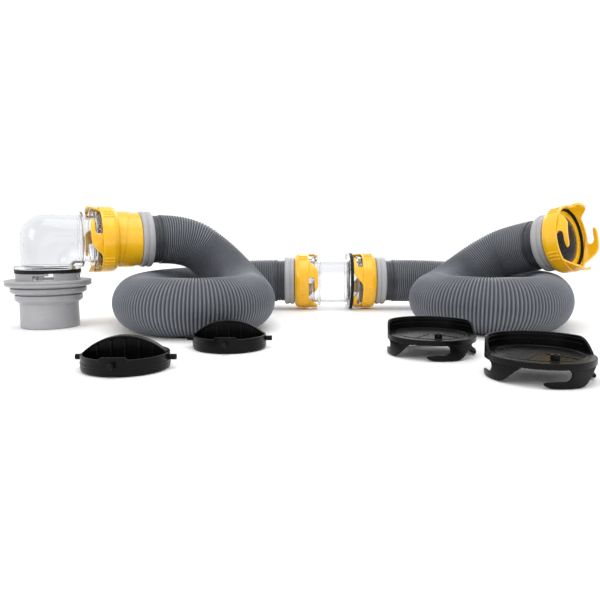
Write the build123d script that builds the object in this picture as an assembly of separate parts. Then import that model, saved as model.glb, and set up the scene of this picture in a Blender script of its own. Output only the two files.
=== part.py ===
"""Sewer hose kit: two corrugated waste hoses, their bayonet fittings, a clear elbow with a
stepped adapter, a clear coupler and four storage caps, laid out on a floor.

Millimetres, +Z up. The origin is on the floor under the middle of the fittings and caps,
+X runs from the adapter to the open fitting and -Y points to the caps at the front.
"""

import os
from math import asin, cos, degrees, pi, radians, sin, tan

from build123d import *

# ---------------------------------------------------------------- driving dimensions
HOSE_OD = 85.0
HOSE_WALL = 2.5

SPIGOT_CLEARANCE = 2.0
SPIGOT_WALL = 3.0
SPIGOT_INSERTION = 25.0
SPIGOT_FLANGE_THICKNESS = 5.0

CUFF_INSET = 2.0
CUFF_RIM_INSET = 0.5
CUFF_RIM_LENGTH = 5.0
CUFF_LENGTH = 19.0

COLLAR_THICKNESS = 9.25
COLLAR_LENGTH = 21.0
COLLAR_ROUNDING = 5.0

RING_DEPTH = 16.0
RING_WALL = 3.4
RING_BODY_LENGTH = 27.0
RING_SHOULDER = 7.0
RING_SHOULDER_LENGTH = 9.0
RING_LIP = 3.0
RING_CAVITY_DEPTH = 14.5
RING_CAVITY_SETBACK = 9.0
RING_PLATE = 3.5
LONG_BARREL_LENGTH = 37.0
LONG_BARREL_THICKNESS = 7.0
BARREL_WALL = 3.5

CLAW_COUNT = 4
CLAW_SLOT_PLAY = 3.3
CLAW_FINGER = 6.7
CLAW_TIP_DEG = 18.0
CLAW_SLOT_END_DEG = -11.0
CLAW_HEAD_DEG = -26.0
CLAW_HEEL_DEG = -50.0
CLAW_FOOT = 2.0

LUG_OD = 8.0
LUG_SEAT_PLAY = 0.71
HUB_LENGTH = 16.0
HUB_WALL = 3.4
CLEAR_WALL = 3.0

SEAL_THICKNESS = 4.0
SEAL_WIDTH = 9.0

ELBOW_OD = 78.0
ELBOW_BEND_RADIUS = 42.0
ELBOW_ARM = 61.0
ELBOW_BAND_OD = 90.0
ELBOW_BAND_THICKNESS = 3.0
ELBOW_BAND_SETBACK = 8.0
ELBOW_FLANGE_OD = 100.0
ELBOW_FLANGE_THICKNESS = 5.0
ELBOW_GASKET_OD = 99.0
ELBOW_GASKET_THICKNESS = 6.0
NOZZLE_STEP = 5.6
NOZZLE_WALL = 3.4
NOZZLE_DEPTH = 10.0

ADAPTER_WALL = 3.55
ADAPTER_SPIGOT_OD = 88.9
ADAPTER_SPIGOT_LENGTH = 39.0
ADAPTER_SMALL_STEP_OD = 101.6
ADAPTER_SMALL_STEP_LENGTH = 15.0
ADAPTER_THREAD_OD = 114.3
ADAPTER_THREAD_LENGTH = 11.0
ADAPTER_RIM_OD = 130.0
ADAPTER_RIM_LENGTH = 10.0
ADAPTER_NECK_WALL = 3.5
ADAPTER_NECK_LENGTH = 11.0
ADAPTER_LUG_OD = 6.0
ADAPTER_LUG_DROP = 6.6
ADAPTER_TURN_DEG = 28.0

COUPLER_OD = 87.0
COUPLER_FRONT_FLANGE_OD = 100.0
COUPLER_REAR_FLANGE_OD = 111.0
COUPLER_FLANGE_THICKNESS = 5.5
COUPLER_GASKET_THICKNESS = 6.0

LUG_CAP_OD = 94.0
LUG_CAP_HEIGHT = 17.5
LUG_CAP_WALL = 2.6
LUG_CAP_FLOOR = 2.5
LUG_CAP_PIN_OD = 6.5
LUG_CAP_PIN_REACH = 8.0
LUG_CAP_PIN_HEIGHT = 12.0
LUG_CAP_TAB_HEIGHT = 3.0
LUG_CAP_TAB_DEG = 36.0
GRIP_PEAK = 36.0
GRIP_WEB = 3.0
GRIP_LIP_WIDTH = 12.0
GRIP_LIP_THICKNESS = 2.4

BAYONET_CAP_WALL = 2.6
BAYONET_CAP_SKIRT = 6.0
BAYONET_CAP_DISC = 2.6
BAYONET_CAP_FENCE_HEIGHT = 15.0
BAYONET_CAP_FENCE_DEG = 190.0
EYELET_OD = 9.0
EYELET_BORE = 4.5
EYELET_HEIGHT = 6.0
EYELET_SETBACK = 14.0

# ---------------------------------------------------------------- clearances
SWIVEL_GAP = 0.3
SLIP_GAP = 0.4
HUB_GAP = 0.7
SEAT_GAP = 0.2

# ---------------------------------------------------------------- derived sizes
HOSE_ID = HOSE_OD - 2 * HOSE_WALL
SPIGOT_OD = HOSE_ID - 2 * SPIGOT_CLEARANCE
SPIGOT_BORE = SPIGOT_OD - 2 * SPIGOT_WALL
CUFF_OD = HOSE_OD - 2 * CUFF_INSET
CUFF_RIM_OD = HOSE_OD - 2 * CUFF_RIM_INSET
COLLAR_OD = SPIGOT_OD + 2 * COLLAR_THICKNESS
RING_OD = SPIGOT_OD + 2 * RING_DEPTH
RING_BACK_OD = RING_OD - 2 * RING_SHOULDER
RING_CAVITY_OD = RING_OD - 2 * RING_CAVITY_SETBACK
LONG_BARREL_OD = SPIGOT_OD + 2 * LONG_BARREL_THICKNESS
NOZZLE_OD = ELBOW_OD + 2 * NOZZLE_STEP
ADAPTER_BORE = ADAPTER_SPIGOT_OD - 2 * ADAPTER_WALL
LUG_CAP_PIN_SPAN = LUG_CAP_OD + 2 * LUG_CAP_PIN_REACH
HUB_OD = RING_OD - 2 * RING_WALL - 2 * HUB_GAP
CLAW_HEIGHT = LUG_OD + CLAW_SLOT_PLAY + CLAW_FINGER
LUG_REST_DEG = CLAW_SLOT_END_DEG + degrees((LUG_OD / 2 + LUG_SEAT_PLAY) / (RING_OD / 2))
RING_LENGTH = RING_BODY_LENGTH + CLAW_HEIGHT
ADAPTER_NECK_OD = NOZZLE_OD + 2 * SLIP_GAP + 2 * ADAPTER_NECK_WALL
ADAPTER_TOP = (
    ADAPTER_SPIGOT_LENGTH
    + ADAPTER_SMALL_STEP_LENGTH
    + ADAPTER_THREAD_LENGTH
    + ADAPTER_RIM_LENGTH
    + ADAPTER_NECK_LENGTH
)
ELBOW_NOZZLE_ROOM = NOZZLE_DEPTH + 2 * SLIP_GAP
NOZZLE_REACH = ELBOW_GASKET_THICKNESS + NOZZLE_DEPTH
ELBOW_SEAT_HEIGHT = ADAPTER_TOP + ELBOW_GASKET_THICKNESS

# ---------------------------------------------------------------- layout on the floor
LUG_CAP_PLACES = ((-199.0, -256.0), (-101.0, -136.0))
BAYONET_CAP_PLACES = ((151.0, -174.0), (233.0, -296.0))

# Centreline corners of the two hoses, chosen by hand from end to end.
LEFT_HOSE_ROUTE = (
    (-251.1, 134.6, 139.0),
    (-209.2, 156.0, 139.0),
    (-162.0, 165.0, 103.0),
    (-118.0, 130.0, 62.0),
    (-96.0, 76.0, 44.0),
    (-88.0, -2.0, 42.6),
    (-134.0, -58.0, 42.6),
    (-204.0, -62.0, 42.6),
    (-255.0, -12.0, 42.6),
    (-270.0, 92.0, 42.6),
    (-260.0, 192.0, 42.6),
    (-213.0, 243.0, 44.0),
    (-150.0, 277.0, 51.0),
    (-105.0, 292.0, 56.0),
    (-60.0, 292.0, 56.0),
)
RIGHT_HOSE_ROUTE = (
    (180.0, 292.0, 56.0),
    (246.0, 292.0, 56.0),
    (330.0, 286.0, 49.0),
    (396.0, 228.0, 43.0),
    (415.0, 128.0, 42.6),
    (378.0, 28.0, 42.6),
    (342.0, -32.0, 42.6),
    (281.0, -52.0, 42.6),
    (223.0, -23.0, 42.6),
    (201.0, 38.0, 43.0),
    (230.0, 115.0, 44.0),
    (275.0, 154.0, 66.0),
    (326.0, 153.0, 104.0),
    (359.0, 136.4, 120.4),
    (384.5, 106.0, 128.0),
)
RUN_SHARE_OF_BEND = 0.45


# ---------------------------------------------------------------- basic shapes
def turned(*profile):
    """Solid of revolution about Z from a closed outline of (radius, height) points."""
    outline = Plane.XZ * make_face(Polyline(*profile, close=True))
    return revolve(outline, Axis.Z)


def tube(outer_radius, inner_radius, bottom, top):
    """Straight tube about Z between two heights."""
    return turned(
        (inner_radius, bottom), (outer_radius, bottom), (outer_radius, top), (inner_radius, top)
    )


def tube_sector(outer_radius, inner_radius, bottom, top, start_deg, end_deg):
    """Part of a tube about Z between two angles."""
    section = Polyline(
        (inner_radius, bottom),
        (outer_radius, bottom),
        (outer_radius, top),
        (inner_radius, top),
        close=True,
    )
    turn = end_deg - start_deg
    return Rot(0, 0, start_deg) * revolve(
        Plane.XZ * make_face(section), Axis.Z, revolution_arc=turn
    )


def radial_pins(count, diameter, inner_radius, outer_radius, height, start_deg):
    """Round pins that point away from Z, evenly spaced."""
    pin = Pos(inner_radius, 0, height) * Rot(0, 90, 0) * Cylinder(
        diameter / 2,
        outer_radius - inner_radius,
        align=(Align.CENTER, Align.CENTER, Align.MIN),
    )
    return [Rot(0, 0, start_deg + 360 / count * i) * pin for i in range(count)]


# ---------------------------------------------------------------- hoses
def bend_radii(route):
    """Radius at each corner of a route: as large as its two runs leave room for."""
    points = [Vector(*point) for point in route]
    radii = []
    for before, corner, after in zip(points, points[1:], points[2:]):
        incoming = corner - before
        outgoing = after - corner
        half_turn = radians(incoming.get_angle(outgoing)) / 2
        shorter = min(incoming.length, outgoing.length)
        radii.append(RUN_SHARE_OF_BEND * shorter / tan(half_turn))
    return radii


def swept_tube(path, outer_radius, inner_radius):
    """Tube along a path of straight runs and tangent arcs."""
    ring = Circle(outer_radius) - Circle(inner_radius)
    return sweep(Plane(origin=path @ 0, z_dir=path % 0) * ring, path=path)


def hose(name, route):
    """Plain hollow tube along the hose's route."""
    radii = bend_radii(route)
    path = FilletPolyline(*route, radius=radii)
    solid = swept_tube(path, HOSE_OD / 2, HOSE_ID / 2)
    section = pi * (HOSE_OD**2 - HOSE_ID**2) / 4
    print(name, "length", round(path.length, 1), "radii", [round(r, 1) for r in radii])
    print(name, "volume over section times length", round(solid.volume / (section * path.length), 4))
    return solid


# ---------------------------------------------------------------- hose end fittings
def fitting_plane(end, before_end, phase_deg, station):
    """Plane across a fitting: Z leaves the hose, X is level, the origin is station mm outside."""
    outward = (Vector(*end) - Vector(*before_end)).normalized()
    level = outward.cross(Vector(0, 0, 1)).normalized()
    upright = outward.cross(level)
    phase = radians(phase_deg)
    seat = Vector(*end) + outward * station
    return Plane(origin=seat, x_dir=level * cos(phase) + upright * sin(phase), z_dir=outward)


def spigot(barrel_length):
    """Inner tube of a fitting with the flange that the bayonet ring turns on."""
    outer = SPIGOT_OD / 2
    flange = RING_CAVITY_OD / 2 - SWIVEL_GAP
    ring_back = CUFF_LENGTH + COLLAR_LENGTH + barrel_length
    front = ring_back + RING_CAVITY_DEPTH - SWIVEL_GAP
    body = tube(outer, SPIGOT_BORE / 2, -SPIGOT_INSERTION, front)
    flange_back = front - SPIGOT_FLANGE_THICKNESS
    return body + tube(flange, SPIGOT_BORE / 2, flange_back, front)


def cuff():
    """Dark sleeve at the hose's end, stepped where it meets the hose."""
    bore = SPIGOT_OD / 2
    return turned(
        (bore, 0),
        (CUFF_RIM_OD / 2, 0),
        (CUFF_RIM_OD / 2, CUFF_RIM_LENGTH),
        (CUFF_OD / 2, CUFF_RIM_LENGTH),
        (CUFF_OD / 2, CUFF_LENGTH),
        (bore, CUFF_LENGTH),
    )


def collar():
    """Rounded clamping collar between the cuff and the bayonet ring."""
    body = tube(COLLAR_OD / 2, SPIGOT_OD / 2, CUFF_LENGTH, CUFF_LENGTH + COLLAR_LENGTH - SWIVEL_GAP)
    rims = body.edges().filter_by(GeomType.CIRCLE).group_by(SortBy.RADIUS)[-1]
    return fillet(rims, COLLAR_ROUNDING)


def claw_block(outer_radius, inner_radius):
    """Block as wide and high as one hook on the plane Z = 0, through the wall it is cut from.

    The finger points the way angles grow.
    """
    middle_deg = (CLAW_TIP_DEG + CLAW_HEEL_DEG) / 2
    wall_radius = (outer_radius + inner_radius) / 2

    def at(angle_deg, height):
        return (wall_radius * sin(radians(angle_deg - middle_deg)), height)

    slot_height = CLAW_HEIGHT - CLAW_FINGER
    slot_round = degrees(slot_height / 2 / wall_radius)
    slot_floor = at(CLAW_SLOT_END_DEG + slot_round, 0)
    slot_roof = at(CLAW_SLOT_END_DEG + slot_round, slot_height)
    finger_end = at(CLAW_TIP_DEG, CLAW_HEIGHT - CLAW_FINGER * 0.7)
    outline = [
        Polyline(
            slot_floor,
            at(CLAW_SLOT_END_DEG + slot_round, -CLAW_FOOT),
            at(CLAW_HEEL_DEG, -CLAW_FOOT),
            at(CLAW_HEEL_DEG, 0),
            at(CLAW_HEAD_DEG, CLAW_HEIGHT + CLAW_FOOT),
            at(CLAW_TIP_DEG / 2, CLAW_HEIGHT + CLAW_FOOT),
            at(CLAW_TIP_DEG / 2, CLAW_HEIGHT),
        ),
        ThreePointArc(
            at(CLAW_TIP_DEG / 2, CLAW_HEIGHT),
            at(CLAW_TIP_DEG * 0.85, CLAW_HEIGHT - CLAW_FINGER * 0.25),
            finger_end,
        ),
        ThreePointArc(
            finger_end, at(CLAW_TIP_DEG * 0.7, slot_height + CLAW_FINGER * 0.05), slot_roof
        ),
        ThreePointArc(slot_roof, at(CLAW_SLOT_END_DEG, slot_height / 2), slot_floor),
    ]
    across = Vector(cos(radians(middle_deg)), sin(radians(middle_deg)), 0)
    sideways = Vector(0, 0, 1).cross(across)
    start = inner_radius * cos(radians(middle_deg - CLAW_HEEL_DEG)) - 2 * CLAW_FOOT
    face = Plane(origin=across * start, x_dir=sideways, z_dir=across) * make_face(outline)
    return extrude(face, amount=outer_radius - start + 2 * CLAW_FOOT)


def claw_gaps(outer_radius, inner_radius):
    """What is cut from a wall that stands on the plane Z = 0 to leave its hooks."""
    gaps = tube(outer_radius + CLAW_FOOT, inner_radius - CLAW_FOOT, 0, CLAW_HEIGHT + CLAW_FOOT / 2)
    block = claw_block(outer_radius, inner_radius)
    for i in range(CLAW_COUNT):
        gaps -= Rot(0, 0, 360 / CLAW_COUNT * i) * block
    return gaps


def bayonet_ring(barrel_length):
    """Turning ring with its hooks; Z = 0 is the back of the ring, behind it the barrel."""
    outer = RING_OD / 2
    hub_bore = outer - RING_WALL
    seal_seat = RING_CAVITY_DEPTH + RING_PLATE
    lip_bore = SPIGOT_OD / 2 + SWIVEL_GAP
    cavity = RING_CAVITY_OD / 2
    seal_bore = hub_bore - HUB_GAP
    mouth = [
        (RING_BACK_OD / 2, 0),
        (outer, RING_SHOULDER_LENGTH),
        (outer, RING_LENGTH),
        (hub_bore, RING_LENGTH),
        (hub_bore, seal_seat + SEAL_THICKNESS),
        (seal_bore, seal_seat + SEAL_THICKNESS),
        (seal_bore, seal_seat),
        (SPIGOT_OD / 2, seal_seat),
        (SPIGOT_OD / 2, RING_CAVITY_DEPTH),
        (cavity, RING_CAVITY_DEPTH),
        (cavity, RING_LIP),
    ]
    if barrel_length:
        barrel_bore = LONG_BARREL_OD / 2 - BARREL_WALL
        back = [
            (barrel_bore, RING_LIP),
            (barrel_bore, RING_LIP - barrel_length),
            (lip_bore, RING_LIP - barrel_length),
            (lip_bore, -barrel_length),
            (LONG_BARREL_OD / 2, -barrel_length),
            (LONG_BARREL_OD / 2, 0),
        ]
    else:
        back = [(lip_bore, RING_LIP), (lip_bore, 0)]
    return turned(*mouth, *back) - Pos(0, 0, RING_BODY_LENGTH) * claw_gaps(outer, hub_bore)


def seal():
    """Flat seal that lies in the ring's seat."""
    outer = RING_OD / 2 - RING_WALL - HUB_GAP - SEAT_GAP
    bottom = RING_CAVITY_DEPTH + RING_PLATE
    return tube(outer, outer - SEAL_WIDTH, bottom, bottom + SEAL_THICKNESS)


def lug_hub(bore_radius):
    """Mating half inside a bayonet ring, with one lug in each hook; in the ring's own frame."""
    outer = HUB_OD / 2
    front = RING_CAVITY_DEPTH + RING_PLATE + SEAL_THICKNESS + SWIVEL_GAP
    back = front + HUB_LENGTH
    hub = turned(
        (bore_radius, front),
        (bore_radius + CLEAR_WALL, front),
        (bore_radius + CLEAR_WALL, back - HUB_WALL),
        (outer - HUB_WALL, back - HUB_WALL),
        (outer - HUB_WALL, front),
        (outer, front),
        (outer, back),
        (bore_radius, back),
    )
    lug_height = RING_BODY_LENGTH + (CLAW_HEIGHT - CLAW_FINGER) / 2
    reach = RING_OD / 2 + HUB_GAP
    for lug in radial_pins(
        CLAW_COUNT, LUG_OD, outer - HUB_WALL / 2, reach, lug_height, LUG_REST_DEG
    ):
        hub += lug
    return hub


# ---------------------------------------------------------------- elbow and adapter
def elbow(arm_plane):
    """Clear elbow: lug hub, arm, bend, floor flange and the nozzle that plugs the adapter."""
    bore = ELBOW_OD / 2 - CLEAR_WALL
    front = RING_CAVITY_DEPTH + RING_PLATE + SEAL_THICKNESS + SWIVEL_GAP
    start = arm_plane.from_local_coords(Vector(0, 0, front))
    corner = arm_plane.from_local_coords(Vector(0, 0, RING_LENGTH + ELBOW_ARM))
    foot = Vector(corner.X, corner.Y, ELBOW_SEAT_HEIGHT)
    path = FilletPolyline(start, corner, foot, radius=ELBOW_BEND_RADIUS)
    body = swept_tube(path, ELBOW_OD / 2, bore)
    body += arm_plane * lug_hub(bore)
    band_top = RING_LENGTH + ELBOW_BAND_SETBACK
    body += arm_plane * tube(
        ELBOW_BAND_OD / 2, ELBOW_OD / 2 - CLEAR_WALL / 2, band_top, band_top + ELBOW_BAND_THICKNESS
    )
    at_foot = Pos(foot.X, foot.Y, ELBOW_SEAT_HEIGHT)
    body += at_foot * tube(ELBOW_FLANGE_OD / 2, bore, 0, ELBOW_FLANGE_THICKNESS)
    nozzle = tube(NOZZLE_OD / 2, NOZZLE_OD / 2 - NOZZLE_WALL, -NOZZLE_REACH, 0)
    lug_reach = ADAPTER_NECK_OD / 2
    for lug in radial_pins(
        CLAW_COUNT,
        ADAPTER_LUG_OD,
        (NOZZLE_OD - NOZZLE_WALL) / 2,
        lug_reach,
        -ELBOW_GASKET_THICKNESS - ADAPTER_LUG_DROP,
        0,
    ):
        nozzle += lug
    return body + at_foot * nozzle


def elbow_gasket():
    """Seal between the elbow's flange and the adapter's neck; Z = 0 is the flange's underside."""
    inner = NOZZLE_OD / 2 + SEAT_GAP
    return tube(ELBOW_GASKET_OD / 2, inner, SWIVEL_GAP - ELBOW_GASKET_THICKNESS, 0)


def adapter():
    """Stepped adapter: slip spigot, two stepped sleeves, a grip rim and a slotted neck."""
    bore = ADAPTER_BORE / 2
    thread_bottom = ADAPTER_SPIGOT_LENGTH + ADAPTER_SMALL_STEP_LENGTH
    rim_bottom = thread_bottom + ADAPTER_THREAD_LENGTH
    neck_bore = ADAPTER_NECK_OD / 2 - ADAPTER_NECK_WALL
    ledge = ADAPTER_TOP - ELBOW_NOZZLE_ROOM
    body = turned(
        (bore, 0),
        (ADAPTER_SPIGOT_OD / 2, 0),
        (ADAPTER_SPIGOT_OD / 2, ADAPTER_SPIGOT_LENGTH),
        (ADAPTER_SMALL_STEP_OD / 2, ADAPTER_SPIGOT_LENGTH),
        (ADAPTER_SMALL_STEP_OD / 2, thread_bottom),
        (ADAPTER_THREAD_OD / 2, thread_bottom),
        (ADAPTER_THREAD_OD / 2, rim_bottom),
        (ADAPTER_RIM_OD / 2, rim_bottom),
        (ADAPTER_RIM_OD / 2, rim_bottom + ADAPTER_RIM_LENGTH),
        (ADAPTER_NECK_OD / 2, rim_bottom + ADAPTER_RIM_LENGTH),
        (ADAPTER_NECK_OD / 2, ADAPTER_TOP),
        (neck_bore, ADAPTER_TOP),
        (neck_bore, ledge),
        (bore, ledge),
    )
    lug_height = ADAPTER_TOP - ADAPTER_LUG_DROP
    half_slot = ADAPTER_LUG_OD / 2 + SLIP_GAP
    half_slot_deg = degrees(asin(half_slot / neck_bore))
    cut_outer = ADAPTER_NECK_OD / 2 + ADAPTER_NECK_WALL
    cut_inner = neck_bore - ADAPTER_NECK_WALL / 2
    for i in range(CLAW_COUNT):
        place = 360 / CLAW_COUNT * i
        body -= tube_sector(
            cut_outer,
            cut_inner,
            lug_height - half_slot,
            lug_height + half_slot,
            place - half_slot_deg,
            place + ADAPTER_TURN_DEG + half_slot_deg,
        )
        body -= tube_sector(
            cut_outer,
            cut_inner,
            lug_height,
            ADAPTER_TOP + 1,
            place + ADAPTER_TURN_DEG - half_slot_deg,
            place + ADAPTER_TURN_DEG + half_slot_deg,
        )
    return body


# ---------------------------------------------------------------- coupler
def coupler_and_gasket(front_plane, rear_plane):
    """Clear coupler between the two centre rings, and the gasket behind its larger flange."""
    tube_radius = COUPLER_OD / 2
    bore = tube_radius - CLEAR_WALL
    hub_back = RING_CAVITY_DEPTH + RING_PLATE + SEAL_THICKNESS + SWIVEL_GAP + HUB_LENGTH
    span = (rear_plane.origin - front_plane.origin).length
    middle = tube(tube_radius, bore, hub_back - HUB_WALL, span - hub_back + HUB_WALL)
    front_face = RING_LENGTH + SLIP_GAP
    middle += tube(
        COUPLER_FRONT_FLANGE_OD / 2, bore, front_face, front_face + COUPLER_FLANGE_THICKNESS
    )
    gasket_face = span - RING_LENGTH - SLIP_GAP
    rear_face = gasket_face - COUPLER_GASKET_THICKNESS
    middle += tube(
        COUPLER_REAR_FLANGE_OD / 2, bore, rear_face - COUPLER_FLANGE_THICKNESS, rear_face
    )
    body = front_plane * middle
    body += front_plane * lug_hub(bore)
    body += rear_plane * lug_hub(bore)
    gasket = tube(COUPLER_REAR_FLANGE_OD / 2, tube_radius + SEAT_GAP, rear_face, gasket_face)
    return body, front_plane * gasket


# ---------------------------------------------------------------- storage caps
def lug_cap():
    """Dished cap with four lugs, a rim tab and an arched grip; it stands on its floor."""
    outer = LUG_CAP_OD / 2
    inner = outer - LUG_CAP_WALL
    tab_top = LUG_CAP_HEIGHT + LUG_CAP_TAB_HEIGHT
    body = turned(
        (0, 0),
        (outer, 0),
        (outer, tab_top),
        (inner, tab_top),
        (inner, LUG_CAP_FLOOR),
        (0, LUG_CAP_FLOOR),
    )
    body -= tube_sector(
        outer + LUG_CAP_WALL,
        inner - LUG_CAP_WALL,
        LUG_CAP_HEIGHT,
        tab_top + LUG_CAP_TAB_HEIGHT,
        -90 + LUG_CAP_TAB_DEG / 2,
        270 - LUG_CAP_TAB_DEG / 2,
    )
    for lug in radial_pins(
        CLAW_COUNT,
        LUG_CAP_PIN_OD,
        outer - LUG_CAP_WALL / 2,
        LUG_CAP_PIN_SPAN / 2,
        LUG_CAP_PIN_HEIGHT,
        0,
    ):
        body += lug
    reach = outer - LUG_CAP_WALL / 2
    drop = GRIP_LIP_THICKNESS
    crown = ThreePointArc((-reach, LUG_CAP_HEIGHT), (0, GRIP_PEAK), (reach, LUG_CAP_HEIGHT))
    under = ThreePointArc(
        (-reach, LUG_CAP_HEIGHT - drop), (0, GRIP_PEAK - drop), (reach, LUG_CAP_HEIGHT - drop)
    )
    lip = make_face([crown, under, Line(crown @ 0, under @ 0), Line(crown @ 1, under @ 1)])
    body += extrude(Plane.XZ * lip, amount=GRIP_LIP_WIDTH / 2, both=True)
    top = ThreePointArc(
        (-reach, LUG_CAP_HEIGHT - drop / 2),
        (0, GRIP_PEAK - drop / 2),
        (reach, LUG_CAP_HEIGHT - drop / 2),
    )
    foot = Polyline(top @ 0, (-reach, LUG_CAP_FLOOR / 2), (reach, LUG_CAP_FLOOR / 2), top @ 1)
    return body + extrude(Plane.XZ * make_face([top, foot]), amount=GRIP_WEB / 2, both=True)


def bayonet_cap():
    """Cap with four hooks below a disc, a fence round its back and an eyelet at the front."""
    inner = RING_OD / 2 - RING_WALL
    outer = inner + BAYONET_CAP_WALL
    disc_top = CLAW_HEIGHT + BAYONET_CAP_SKIRT
    fence_top = disc_top + BAYONET_CAP_FENCE_HEIGHT
    disc_bottom = disc_top - BAYONET_CAP_DISC
    body = turned(
        (0, disc_bottom),
        (inner, disc_bottom),
        (inner, 0),
        (outer, 0),
        (outer, fence_top),
        (inner, fence_top),
        (inner, disc_top),
        (0, disc_top),
    )
    body -= Pos(0, 0, CLAW_HEIGHT) * Rot(180, 0, 0) * claw_gaps(outer, inner)
    half_fence = BAYONET_CAP_FENCE_DEG / 2
    body -= tube_sector(
        outer + CLAW_FOOT,
        inner - CLAW_FOOT,
        disc_top,
        fence_top + CLAW_FOOT,
        90 + half_fence,
        450 - half_fence,
    )
    eyelet = Cylinder(EYELET_OD / 2, EYELET_HEIGHT) - Cylinder(EYELET_BORE / 2, EYELET_HEIGHT)
    return body + Pos(0, EYELET_SETBACK - inner, disc_top + EYELET_HEIGHT / 2) * eyelet


def bayonet_cap_seal():
    """Seal under the disc of a bayonet cap."""
    outer = RING_OD / 2 - RING_WALL - HUB_GAP
    top = CLAW_HEIGHT + BAYONET_CAP_SKIRT - BAYONET_CAP_DISC
    return tube(outer, outer - SEAL_WIDTH, top - SEAL_THICKNESS + 1, top)


# ---------------------------------------------------------------- assembly
def hose_end_nodes(name, end, before_end, phase_deg, barrel_length):
    """Cuff, collar, spigot, ring and seal of one hose end, and the ring's plane."""
    base = fitting_plane(end, before_end, phase_deg, 0)
    ring_station = CUFF_LENGTH + COLLAR_LENGTH + barrel_length
    ring_plane = fitting_plane(end, before_end, phase_deg, ring_station)
    shapes = {
        f"cuff_{name}": base * cuff(),
        f"collar_{name}": base * collar(),
        f"spigot_{name}": base * spigot(barrel_length),
        f"bayonet_ring_{name}": ring_plane * bayonet_ring(barrel_length),
        f"ring_seal_{name}": ring_plane * seal(),
    }
    return shapes, ring_plane


def build():
    """All nodes of the kit, by name."""
    shapes = {
        "hose_left": hose("hose_left", LEFT_HOSE_ROUTE),
        "hose_right": hose("hose_right", RIGHT_HOSE_ROUTE),
    }
    ends = {
        "elbow": (LEFT_HOSE_ROUTE[0], LEFT_HOSE_ROUTE[1], 20, LONG_BARREL_LENGTH),
        "centre_left": (LEFT_HOSE_ROUTE[-1], LEFT_HOSE_ROUTE[-2], 0, 0),
        "centre_right": (RIGHT_HOSE_ROUTE[0], RIGHT_HOSE_ROUTE[1], 45, 0),
        "open": (RIGHT_HOSE_ROUTE[-1], RIGHT_HOSE_ROUTE[-2], 0, 0),
    }
    planes = {}
    for name, place in ends.items():
        nodes, planes[name] = hose_end_nodes(name, *place)
        shapes.update(nodes)
    shapes["elbow_body"] = elbow(planes["elbow"])
    foot = planes["elbow"].from_local_coords(Vector(0, 0, RING_LENGTH + ELBOW_ARM))
    at_adapter = Pos(foot.X, foot.Y, 0)
    shapes["elbow_gasket"] = Pos(foot.X, foot.Y, ELBOW_SEAT_HEIGHT) * elbow_gasket()
    shapes["adapter_body"] = at_adapter * adapter()
    coupler, gasket = coupler_and_gasket(planes["centre_left"], planes["centre_right"])
    shapes["coupler_body"] = coupler
    shapes["coupler_gasket"] = gasket
    for i, (x, y) in enumerate(LUG_CAP_PLACES, start=1):
        shapes[f"lug_cap_{i}"] = Pos(x, y, 0) * lug_cap()
    for i, (x, y) in enumerate(BAYONET_CAP_PLACES, start=1):
        shapes[f"bayonet_cap_{i}"] = Pos(x, y, 0) * bayonet_cap()
        shapes[f"bayonet_cap_seal_{i}"] = Pos(x, y, 0) * bayonet_cap_seal()
    return shapes


os.makedirs("parts", exist_ok=True)
for node, shape in build().items():
    export_step(shape, f"parts/{node}.step")
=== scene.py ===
"""Sewer hose kit: the looks of its hoses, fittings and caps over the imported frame.

Hose routes are in metres, as the frame is. The moulded pieces are worked out in millimetres in
the same frame and scaled when their mesh is made.
"""

import logging
import math
from dataclasses import dataclass, field
from enum import Enum
from typing import Any, Protocol

import bmesh
import bpy
import numpy as np
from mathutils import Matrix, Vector


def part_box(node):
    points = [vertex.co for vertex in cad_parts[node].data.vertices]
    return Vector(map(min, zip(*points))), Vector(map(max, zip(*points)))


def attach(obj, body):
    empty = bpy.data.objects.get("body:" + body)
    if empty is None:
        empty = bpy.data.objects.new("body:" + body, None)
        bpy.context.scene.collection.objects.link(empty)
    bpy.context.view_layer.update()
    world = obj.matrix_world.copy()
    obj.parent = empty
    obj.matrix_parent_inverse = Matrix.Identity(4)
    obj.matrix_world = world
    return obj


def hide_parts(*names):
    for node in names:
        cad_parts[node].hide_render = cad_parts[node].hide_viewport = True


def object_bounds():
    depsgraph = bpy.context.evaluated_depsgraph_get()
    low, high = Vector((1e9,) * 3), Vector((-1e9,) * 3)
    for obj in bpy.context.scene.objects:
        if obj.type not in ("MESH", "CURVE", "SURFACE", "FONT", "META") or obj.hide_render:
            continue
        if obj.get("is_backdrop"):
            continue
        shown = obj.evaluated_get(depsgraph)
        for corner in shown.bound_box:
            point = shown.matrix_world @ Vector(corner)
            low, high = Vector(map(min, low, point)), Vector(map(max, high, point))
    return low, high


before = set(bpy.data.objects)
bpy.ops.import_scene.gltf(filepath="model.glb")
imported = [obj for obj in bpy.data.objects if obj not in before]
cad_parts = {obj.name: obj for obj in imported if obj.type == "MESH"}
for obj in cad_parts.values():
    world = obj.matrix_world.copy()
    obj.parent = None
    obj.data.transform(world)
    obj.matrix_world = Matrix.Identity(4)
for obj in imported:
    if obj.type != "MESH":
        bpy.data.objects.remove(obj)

MM = 0.001
QUARTERS = (0.0, 90.0, 180.0, 270.0)
log = logging.getLogger("hose_kit")

Colour = tuple[float, float, float]


class Slot(Enum):
    """Material slots of the record."""

    HOSE = "hose"
    CUFF = "cuff"
    COLLAR = "collar"
    SPIGOT = "spigot"
    YELLOW = "yellow"
    SEAL = "seal"
    CLEAR = "clear"
    GREY = "grey"
    BLACK = "black"


class Wrap(Enum):
    """How a bar's sheet coordinates (along, height, depth) become a place in its frame."""

    ROUND = "along is an angle in degrees and depth a radius"
    FLAT = "along is X, height is Z and depth is Y"


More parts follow.
